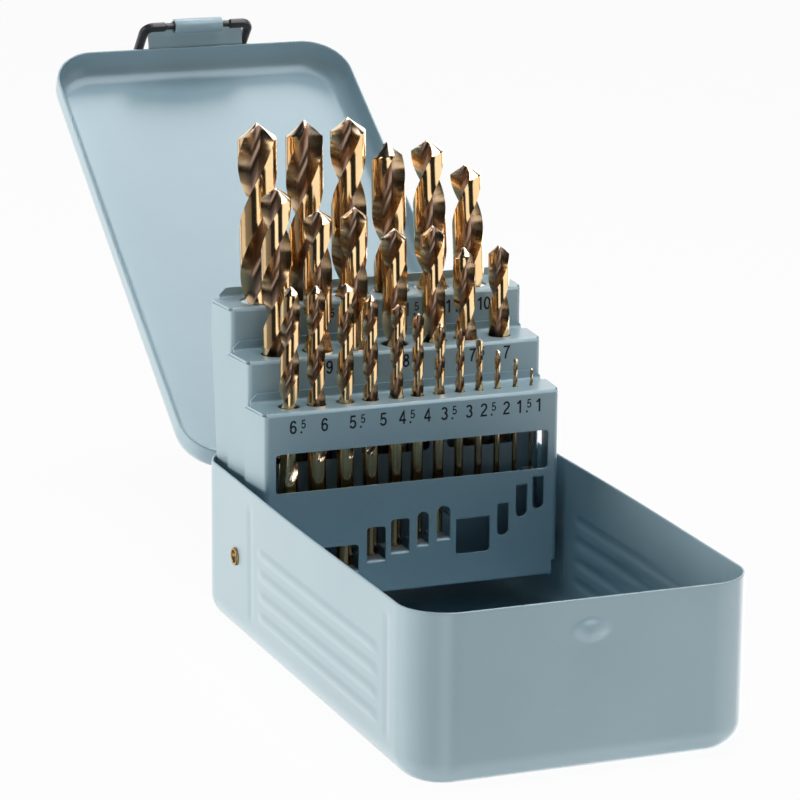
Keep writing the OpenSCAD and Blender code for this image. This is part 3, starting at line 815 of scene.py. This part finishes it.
def makeHingePin():
    # a rod turned from a profile whose ends are domes: x in by 0.5 (1 - sin v), radius growing with sin v
    r, half = hinge["pinR"], hinge["width"] / 2
    dome = np.radians(np.linspace(10, 90, 7))
    left = [(-half + 0.5 * (1 - math.sin(v)), r * (0.35 + 0.65 * math.sin(v))) for v in dome]
    profile = left + [(-x, q) for x, q in left[::-1]]
    points, faces = closedRings(latheX(profile, 28) + np.array([0, hinge["y"], hinge["z"]]))
    addPiece("hingeRod", points, faces, "case", ["hinge_pin"], "paint", paint, 60)


eyeletLook = {"bore": 1.4, "barrel": 1.98, "ring": 2.5, "roll": 0.52, "outer": 55.42, "inner": 50.85}


def makeEyelets():
    # a barrel with a rolled ring at each end: the profile runs out over the rings and back through the bore
    e = eyeletLook
    outer = [(e["outer"] - 0.3, e["barrel"])] + [
        (e["outer"] + e["roll"] * math.cos(v), e["ring"] + e["roll"] * math.sin(v))
        for v in np.radians(np.linspace(130, -110, 15))] + [(e["outer"] - 0.9, e["bore"])]
    inner = [(e["inner"] + 0.9, e["bore"])] + [
        (e["inner"] + 0.6 * e["roll"] * math.cos(v), e["ring"] + e["roll"] * math.sin(v))
        for v in np.radians(np.linspace(-70, -230, 11))] + [(e["inner"] + 0.35, e["barrel"])]
    points, faces = loopRings(latheX(outer + inner) + np.array([0, pivot["y"], pivot["z"]]))
    for name, node, side in (("eyeletLeft", "eyelet_left", -1), ("eyeletRight", "eyelet_right", 1)):
        facesOut(addPiece(name, points * [side, 1, 1], faces, "case", [node], "eyelet", brass))


catchLook = {"length": 22.0, "lean": 8.0, "armX": 20.0, "cornerR": 3.2, "thick": 1.62, "flat": 1.38,
             "neck": 1.1, "core": 1.8, "square": 0.62, "curlEnd": 8.8, "neckEnd": 12.0}


def makeCatch():
    # a closed loop in its own plane: rounded rectangle of centres, with a superellipse section whose radii change
    # along it: round in the curl, thin at the necks, squarish elsewhere
    c = catchLook
    r, x, h = c["cornerR"], c["armX"], c["length"]
    arcs = np.radians(np.linspace(0, 90, 9))
    corners = [((x - r, r), -90), ((x - r, h - r), 0), ((-x + r, h - r), 90), ((-x + r, r), 180)]
    straight = [np.stack([np.linspace(0, x - r, 24, endpoint=False), np.zeros(24)], -1)]
    for (cx, cy), a in corners:
        v = arcs + math.radians(a)
        straight.append(np.stack([cx + r * np.cos(v), cy + r * np.sin(v)], -1))
    straight.append(np.stack([np.linspace(-x + r, 0, 24, endpoint=False)[1:], np.zeros(23)], -1))
    loop = np.concatenate(straight)
    ahead = np.roll(loop, -1, 0) - np.roll(loop, 1, 0)
    ahead /= np.linalg.norm(ahead, axis=1)[:, None]
    low = np.abs(loop[:, 1]) < 0.01
    ax = np.abs(loop[:, 0])
    inCurl, neckEnd = low & (ax < c["curlEnd"]), c["neckEnd"]
    grow = smooth(ax, neckEnd, neckEnd + 0.6)
    wide, thin = (np.where(low, np.where(inCurl, c["core"], c["neck"] + (full - c["neck"]) * grow), full)
                  for full in (c["thick"], c["flat"]))
    power = np.where(low & (ax < neckEnd), 1.0, c["square"])
    a = np.linspace(0, 2 * np.pi, 24, endpoint=False)
    ca = np.sign(np.cos(a))[None] * np.abs(np.cos(a))[None] ** power[:, None]
    sa = np.sign(np.sin(a))[None] * np.abs(np.sin(a))[None] ** power[:, None]
    side = np.stack([ahead[:, 1], -ahead[:, 0]], -1)
    flatX = loop[:, 0][:, None] + wide[:, None] * ca * side[:, 0][:, None]
    flatH = loop[:, 1][:, None] + wide[:, None] * ca * side[:, 1][:, None]
    off = thin[:, None] * sa
    lean = math.radians(c["lean"])
    y = tabLook["curlY"] - math.sin(lean) * flatH - math.cos(lean) * off
    z = tabLook["curlZ"] + math.cos(lean) * flatH - math.sin(lean) * off
    points, faces = loopRings(np.stack([flatX, y, z], -1))
    facesOut(addPiece("catchLoop", swingOpen(points), faces, "catch", ["bail"], "catch_black", blackCatch, 35))


makeTab()
makeKnuckles("trayKnuckles", "case", (0, 2, 4), 95.6, True)
makeKnuckles("lidKnuckles", "cover", (1, 3), 96.9, False)
makeHingePin()
makeEyelets()
makeCatch()
print("hinge, eyelets and catch made")


# lead and runIn in diameters; reach, circle, landR and deep in radii; margin and pointHalf in degrees
bitShape = {"lead": 5.6, "shortLead": {6.5: 5.38, 6: 5.45}, "reach": 0.86, "circle": 0.70, "landR": 0.972,
            "margin": 9.0, "pointHalf": 59.0, "relief": 0.30, "runIn": 1.5, "deep": 0.22}


def makeBit(size, whole, flute, x, row, stop, lean, turn):
    # radius(angle, height): lands at landR with a narrow margin at 1; a flute is the near side of a circle whose middle
    # lies reach from the axis, reach growing to nothing cut at the shank; near the point all is cut by a cone that
    # falls away behind each lip. The section turns once in lead diameters.
    s = bitShape
    key = f"{size:.1f}".replace(".", "_")
    pitch = s["shortLead"].get(size, s["lead"]) * size
    r = size / 2
    plain = whole - flute
    half = math.degrees(math.acos((s["reach"] ** 2 + 1 - s["circle"] ** 2) / (2 * s["reach"])))
    land = 180 - 2 * half
    one = np.concatenate([
        np.linspace(0, land - s["margin"] - 0.3, 9), [land - s["margin"], land - s["margin"] / 2, land - 0.01],
        np.linspace(land, 180, 15)[1:-1]])
    local = np.radians(np.concatenate([one, one + 180]))
    inHalf = np.concatenate([one, one])
    isMargin = (inHalf > land - s["margin"] - 0.05) & (inHalf <= land)
    body = np.where(isMargin, 1.0, s["landR"])
    away = np.radians(inHalf - (land + 180) / 2)
    slope = 1 / math.tan(math.radians(s["pointHalf"]))
    pointH = r * (slope + s["relief"]) * 1.02
    rows = int(max(16, 34 * flute / pitch))
    z = np.concatenate([
        [0, size * 0.05], np.linspace(plain * 0.5, plain - size * 0.02, 3),
        np.linspace(plain, whole - pointH, rows), whole - pointH * np.linspace(1, 0.004, 26)[1:] ** 1.15])
    start = np.clip((z - plain) / (s["runIn"] * size), 0, 1)
    reach = s["reach"] + (1 + s["circle"] - s["reach"]) * (1 - start) ** 2
    bore = s["circle"] ** 2 - (reach[:, None] * np.sin(away)[None]) ** 2
    near = reach[:, None] * np.cos(away)[None] - np.sqrt(np.clip(bore, 0, None))
    shank = np.where((z < plain)[:, None], 1.0, body[None])
    shank = shank + (1.0 - shank) * (1 - smooth(z, plain, plain + size * 0.3))[:, None]
    cut = np.where((bore > 0) & (np.cos(away)[None] > 0), near, 9.0)
    radius = np.minimum(shank, cut)
    radius[0] *= 0.9
    behind = np.where(inHalf <= land, (land - inHalf) / land, (inHalf - land) / (180 - land))
    tip = (whole - z)[:, None] / r / (slope + s["relief"] * behind[None])
    depth = np.clip((shank - radius) / s["deep"], 0, 1)
    # where each flute runs out it is marked pale too: a painted highlight, not the metal's own colour
    runOutSheen = smooth(-start, -0.42, -0.12)[:, None] * (depth > 0.02)
    ground = np.maximum(tip < radius, runOutSheen)
    radius = np.minimum(radius, tip)
    angle = local[None] + np.radians(turn) + 2 * np.pi * np.clip(z - plain, 0, None)[:, None] / pitch
    px, py = r * radius * np.cos(angle), r * radius * np.sin(angle)
    tilt = -math.radians(lean)
    seat = -(treadTops[row] - footZ - stop) / math.cos(tilt) + r * math.tan(abs(tilt)) + 0.02
    lift = np.broadcast_to(z[:, None], px.shape) + seat
    wx = x + px * math.cos(tilt) + lift * math.sin(tilt)
    wz = treadTops[row] - px * math.sin(tilt) + lift * math.cos(tilt)
    points, faces = closedRings(np.stack([wx, py + rowMiddles[row], wz], -1))
    piece = addPiece("twistBit" + key, points, faces, "drill_" + key, ["bit_" + key], "bit", bitSteel, 28)
    # 0 at the end of the flutes, 1 from one diameter below it to the shank's end: where the shank takes its darker
    # colour
    shankDarker = np.broadcast_to(smooth(-z, -plain, -plain + size)[:, None], radius.shape)
    for label, field, ends in (("flute", depth, (0, 0)), ("ground", ground, (0, 1)), ("shank", shankDarker, (1, 0))):
        layer = piece.data.attributes.new(label, "FLOAT", "POINT")
        layer.data.foreach_set("value", np.concatenate([field.ravel(), ends]).astype(np.float32))


for bit in bitSet:
    makeBit(*bit)
print("bits made:", len(bitSet))


# text, middle of its whole number along X, for each row
labels = [
    [("6.5", -41.2), ("6", -30.6), ("5.5", -21.0), ("5", -10.6), ("4.5", -4.0), ("4", 4.6), ("3.5", 10.5), ("3", 19.1),
     ("2.5", 24.2), ("2", 32.1), ("1.5", 36.6), ("1", 43.4)],
    [("10", -36.4), ("9.5", -23.1), ("9", -9.0), ("8.5", 3.3), ("8", 15.4), ("7.5", 26.5), ("7", 38.5)],
    [("13", -35.6), ("12.5", -20.8), ("12", -6.0), ("11.5", 8.7), ("11", 26.0), ("10.5", 37.2)],
]
printLook = {"height": 4.35, "small": 2.9, "drop": (6.95, 5.95, 6.95), "proud": 0.02, "weight": 0.145, "wide": 0.60}


def bow(cx, cy, rx, ry, a, b, count=22):
    # an ellipse's arc from angle a to b: middle + (rx cos v, ry sin v)
    v = np.radians(np.linspace(a, b, count))
    return np.stack([cx + rx * np.cos(v), cy + ry * np.sin(v)], -1)


def pen(*parts, closed=False):
    # one stroke: points and arcs one after another, and whether it closes on itself
    return np.concatenate([np.reshape(part, (-1, 2)) for part in parts]), closed


# middle lines of the digits in a box one high
strokes = {
    "0": [pen(bow(0.28, 0.5, 0.205, 0.435, 0, 345, 28), closed=True)],
    "1": [pen((0.36, 0.0), (0.36, 1.0)), pen((0.11, 0.745), (0.24, 0.81), (0.33, 0.93))],
    "2": [pen(bow(0.285, 0.715, 0.195, 0.22, 175, -25), (0.36, 0.46), (0.17, 0.27), (0.085, 0.065), (0.53, 0.065))],
    "3": [pen(bow(0.265, 0.735, 0.18, 0.2, 160, -88)), pen(bow(0.27, 0.295, 0.205, 0.23, 88, -165))],
    "4": [pen((0.395, 0.0), (0.395, 0.965), (0.37, 0.93), (0.075, 0.33), (0.085, 0.29), (0.55, 0.29))],
    "5": [pen((0.50, 0.925), (0.165, 0.925), (0.105, 0.49), bow(0.275, 0.325, 0.21, 0.26, 132, -160))],
    "6": [pen(bow(0.30, 0.66, 0.185, 0.275, 25, 100), bow(0.30, 0.5, 0.212, 0.43, 105, 185)),
          pen(bow(0.29, 0.315, 0.195, 0.25, 0, 345, 26), closed=True)],
    "7": [pen((0.05, 0.925), (0.50, 0.925), (0.36, 0.66), (0.25, 0.34), (0.205, 0.0))],
    "8": [pen(bow(0.28, 0.75, 0.165, 0.185, 0, 342), closed=True),
          pen(bow(0.28, 0.29, 0.2, 0.225, 0, 342), closed=True)],
    "9": [pen(bow(0.26, 0.34, 0.185, 0.275, 205, 280), bow(0.26, 0.5, 0.212, 0.43, 285, 365)),
          pen(bow(0.27, 0.685, 0.195, 0.25, 0, 345, 26), closed=True)],
}


def strokeSolid(line, closed, weight, y):
    # a flat band along a line: each point moved along its mitred normal by half the weight, with a thin back
    after, before = np.roll(line, -1, 0) - line, line - np.roll(line, 1, 0)
    if not closed:
        after[-1], before[0] = before[-1], after[0]
    n1 = np.stack([-before[:, 1], before[:, 0]], -1) / np.linalg.norm(before, axis=1)[:, None]
    n2 = np.stack([-after[:, 1], after[:, 0]], -1) / np.linalg.norm(after, axis=1)[:, None]
    middle = (n1 + n2) / np.clip(1 + (n1 * n2).sum(1), 0.35, None)[:, None]
    a, b = line + middle * weight / 2, line - middle * weight / 2
    front, back = y - printLook["proud"], y + 0.04
    rings = np.stack([np.stack([e[:, 0], np.full(len(e), d), e[:, 1]], -1)
                      for e, d in ((a, front), (b, front), (b, back), (a, back))], 1)
    return loopRings(rings) if closed else closedRings(rings)


def numberParts(text, x, base, height, y):
    # the digits side by side, centred on x, and the right edge of the last one
    step = printLook["wide"] * height
    left = x - step * len(text) / 2 + 0.02 * height
    parts = []
    for k, digit in enumerate(text):
        for line, closed in strokes[digit]:
            parts.append(strokeSolid(line * height + [left + k * step, base], closed, printLook["weight"] * height, y))
    return parts, x + step * len(text) / 2


def makePrint():
    # whole numbers in full height, and a point and a smaller, raised digit for a half
    p = printLook
    parts = []
    for row, entries in enumerate(labels):
        y, base = panelFaces[row], treadTops[row] - p["drop"][row]
        for text, x in entries:
            whole, _, part = text.partition(".")
            made, edge = numberParts(whole, x, base, p["height"], y)
            parts += made
            if part:
                small, _ = numberParts(part, edge + 2.15, base + p["height"] - p["small"] + 0.1, p["small"], y)
                dot = np.array([(edge + 1.1, base + 0.34), (edge + 1.75, base + 0.34)])
                parts += small + [strokeSolid(dot, False, 0.66, y)]
    facesOut(addPiece("printedSizes", *joined(parts), "holder", [], "catch_black", ink, 30))


makePrint()
print("sizes printed")


def makeFloor():
    # shows as white with the object's shadow, lights the object with a warm bounce, and lets reflections through
    material, tree = newMaterial("paleFloor")
    camera, diffuse, glossy = (addNode(tree, "ShaderNodeLightPath", output=name)
                               for name in ("Is Camera Ray", "Is Diffuse Ray", "Is Glossy Ray"))
    tone = mixColour(tree, noise(tree, objectPlace(tree), 2.0), (0.90, 0.90, 0.90, 1), (0.92, 0.92, 0.92, 1))
    matt = addNode(tree, "ShaderNodeBsdfDiffuse", {}, {"Color": tone})
    glow = addNode(tree, "ShaderNodeEmission", {}, {
        "Color": mixColour(tree, diffuse, (1, 1, 1, 1), studio["bounce"]), "Strength": 1.0})
    lit = (camera * studio["glow"] + diffuse).clamp()
    shown = addNode(tree, "ShaderNodeMixShader", {}, {0: lit, 1: matt, 2: glow})
    through = addNode(tree, "ShaderNodeBsdfTransparent")
    finishMaterial(tree, addNode(tree, "ShaderNodeMixShader", {}, {0: glossy, 1: shown, 2: through}))
    mesh = bpy.data.meshes.new("floor")
    mesh.from_pydata([(-4, -4, -0.0002), (4, -4, -0.0002), (4, 4, -0.0002), (-4, 4, -0.0002)], [], [[0, 1, 2, 3]])
    mesh.materials.append(material)
    floor = bpy.data.objects.new("floor", mesh)
    scene.collection.objects.link(floor)


studio = {
    # place, aim, size, power and tint of each lamp
    "lamps": {
        "overhead": ((0, -80, 1700), (0, 60, 80), (1000, 800), 16.0, (1, 0.97, 0.95)),
        "leftBack": ((-1300, 700, 170), (0, 50, 60), (900, 320), 18.0, (1, 0.86, 0.77)),
        "leftLow": ((-1500, -150, 120), (0, 0, 60), (1500, 220), 1.2, (1, 0.86, 0.77)),
        "frontLow": ((200, -1600, 190), (0, 0, 60), (1200, 340), 2.0, (1, 0.96, 0.92)),
    },
    "room": (0.07, 0.085, 0.095), "glow": 0.95, "bounce": (1.62, 1.45, 1.36, 1),
    # brightness of the surroundings in reflections, by direction from the camera's side, -1 to 1 for half turns
    "around": [(-1, 1.0), (-0.75, 1.0), (-0.70, 0.1), (-0.66, 0.9), (-0.50, 0.9), (-0.46, 0.30), (-0.24, 0.18),
               (-0.20, 0.01), (-0.045, 0.01), (-0.03, 1.4), (0.085, 1.4), (0.10, 0.01), (0.27, 0.01), (0.30, 1.3),
               (0.62, 1.3), (0.66, 0.2), (0.72, 2.4), (0.90, 2.4), (1, 1.0)],
    # soft boxes in reflections: from and to in half turns, from and to in height of the direction, brightness
    "boxes": [(0.14, 0.60, 0.48, 0.97, 4.4), (-0.58, -0.36, 0.30, 0.55, 2.4)],
    # the bright ceiling that the open lid's inside reflects: strength, how it grows with y, and its reach
    "ceiling": {"strength": 7.0, "fromY": 0.065, "gain": 12.5, "height": (0.80, 1.0, 0.05),
                "across": (0.0, 0.62, 0.06)},
}


def makeLamp(name, place, aim, size, power, tint):
    # a rectangular lamp that faces its aim; neither the camera nor a reflection sees it
    data = bpy.data.lights.new(name, "AREA")
    data.shape, data.size, data.size_y, data.energy = "RECTANGLE", size[0] * mm, size[1] * mm, power
    data.color = tint
    lamp = bpy.data.objects.new(name, data)
    scene.collection.objects.link(lamp)
    lamp.location = Vector(place) * mm
    lamp.rotation_euler = (Vector(aim) - Vector(place)).to_track_quat("-Z", "Y").to_euler()
    lamp.visible_camera = False
    lamp.visible_glossy = False


def between(value, low, high, soft):
    # 1 from low to high, falling to 0 within soft beyond them
    return ((value - low) * (1 / soft) + 1).clamp() * ((high - value) * (1 / soft) + 1).clamp()


def makeWorld():
    # the camera sees white. Reflections see a white backdrop behind, a dark room in front of the object, and soft
    # boxes: the direction is the angle atan2(ray . right, ray . toward camera) / pi and the height ray . up
    world = bpy.data.worlds.new("studioWorld")
    scene.world = world
    world.use_nodes = True
    tree = world.node_tree
    tree.nodes.clear()
    camera, glossy, through = (addNode(tree, "ShaderNodeLightPath", output=name)
                               for name in ("Is Camera Ray", "Is Glossy Ray", "Is Transmission Ray"))
    ray = addNode(tree, "ShaderNodeTexCoord", output="Generated")
    x, y, z = (addNode(tree, "ShaderNodeSeparateXYZ", {}, {0: ray}, k) for k in range(3))
    az = math.radians(view["azimuth"])
    toward = x * math.sin(az) - y * math.cos(az)
    right = x * math.cos(az) + y * math.sin(az)
    turn = right.calc("ARCTAN2", toward) * (1 / math.pi)
    stops = [((a + 1) / 2, (v, v, v, 1)) for a, v in studio["around"]]
    around = addNode(tree, "ShaderNodeValToRGB", {"stops": stops}, {0: turn * 0.5 + 0.5})
    behind = (toward * -4 - 2.2).clamp()
    shine = around * between(z, -0.7, 0.16, 0.12).max(behind) + 0.015
    for low, high, down, up, bright in studio["boxes"]:
        shine = shine + between(turn, low, high, 0.03) * between(z, down, up, 0.06) * bright
    top = studio["ceiling"]
    ceiling = ((y - top["fromY"]) * top["gain"]).clamp() * between(z, *top["height"]) * between(x, *top["across"])
    shine = shine + ceiling * top["strength"]
    shown = shine * glossy + (camera.max(through) - glossy).clamp()
    rays = camera.max(glossy).max(through)
    tone = mixColour(tree, rays, studio["room"] + (1,), shown)
    back = addNode(tree, "ShaderNodeBackground", {}, {"Color": tone})
    addNode(tree, "ShaderNodeOutputWorld", {}, {"Surface": back}, None)


view = {"azimuth": -21.56, "rise": 14.37, "roll": 0.43, "distance": 1221.68, "aim": (-0.13, 55.46, 75.9), "lens": 170.2}


def makeCamera():
    # stands back from the aim along (sin az cos el, -cos az cos el, sin el), turned by the roll
    az, el, roll = (math.radians(view[k]) for k in ("azimuth", "rise", "roll"))
    back = Vector((math.sin(az) * math.cos(el), -math.cos(az) * math.cos(el), math.sin(el)))
    right = (-back).cross(Vector((0, 0, 1))).normalized()
    up = right.cross(-back)
    turnedRight = right * math.cos(roll) + up * math.sin(roll)
    turnedUp = up * math.cos(roll) - right * math.sin(roll)
    data = bpy.data.cameras.new("photoCamera")
    data.lens, data.sensor_width, data.sensor_fit = view["lens"], 36, "HORIZONTAL"
    data.clip_start, data.clip_end = 0.05, 50
    camera = bpy.data.objects.new("photoCamera", data)
    scene.collection.objects.link(camera)
    place = Vector(view["aim"]) * mm + back * view["distance"] * mm
    camera.matrix_world = Matrix.Translation(place) @ Matrix((turnedRight, turnedUp, back)).transposed().to_4x4()
    scene.camera = camera


makeFloor()
for lampName, lamp in studio["lamps"].items():
    makeLamp(lampName, *lamp)
makeWorld()
makeCamera()
scene.view_settings.view_transform = "Standard"
print("stage set")
